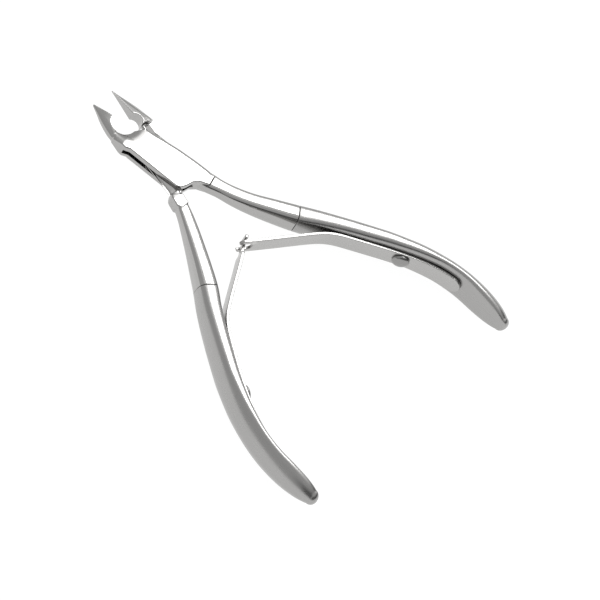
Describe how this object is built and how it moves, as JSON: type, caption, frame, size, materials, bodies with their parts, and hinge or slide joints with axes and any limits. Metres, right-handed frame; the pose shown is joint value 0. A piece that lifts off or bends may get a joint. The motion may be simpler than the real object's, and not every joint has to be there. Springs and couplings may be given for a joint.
{
  "type": "cuticle nipper",
  "caption": "Steel cuticle nipper with a slim box joint, pointed blades, curved handles and interlocking leaf springs that open it.",
  "frame": {"origin": "where the pivot axis meets the flat back of the joint", "axes": "+Z along the pivot axis out of the front face, +Y towards the blades, +X towards the right handle"},
  "size_m": [0.0837, 0.1111, 0.01],
  "materials": {
    "polished_steel": "polished stainless steel",
    "satin_steel": "satin polished stainless steel",
    "spring_steel": "brushed spring steel",
    "screw_steel": "turned and tumbled steel"
  },
  "bodies": {
    "front": {"front_half": "polished_steel", "right_handle": "satin_steel", "pivot_rivet": "polished_steel", "right_spring_seat": "spring_steel", "right_spring_screw": "screw_steel"},
    "rear": {"rear_half": "polished_steel", "left_handle": "satin_steel", "left_spring_seat": "spring_steel", "left_spring_screw": "screw_steel"},
    "fork_spring": {"right_spring_blade": "spring_steel"},
    "tongue_spring": {"left_spring_blade": "spring_steel"}
  },
  "joints": [
    {"name": "handle_pivot", "type": "hinge", "parent": "front", "child": "rear", "pos_m": [0, 0, 0.0021], "axis": [0, 0, 1], "range_deg": [0, 16], "stiffness_Nm_per_rad": 0.3},
    {"name": "fork_spring_flex", "type": "hinge", "parent": "front", "child": "fork_spring", "pos_m": [0.01972, -0.04097, 0.0021], "axis": [0, 0, 1], "range_deg": [-12.8, 0]},
    {"name": "tongue_spring_flex", "type": "hinge", "parent": "rear", "child": "tongue_spring", "pos_m": [-0.02232, -0.04056, 0.0021], "axis": [0, 0, 1], "range_deg": [0, 14.2]}
  ],
  "couplings": [
    {"joint": "fork_spring_flex", "follows": "handle_pivot", "ratio": -0.78},
    {"joint": "tongue_spring_flex", "follows": "handle_pivot", "ratio": 0.87}
  ]
}
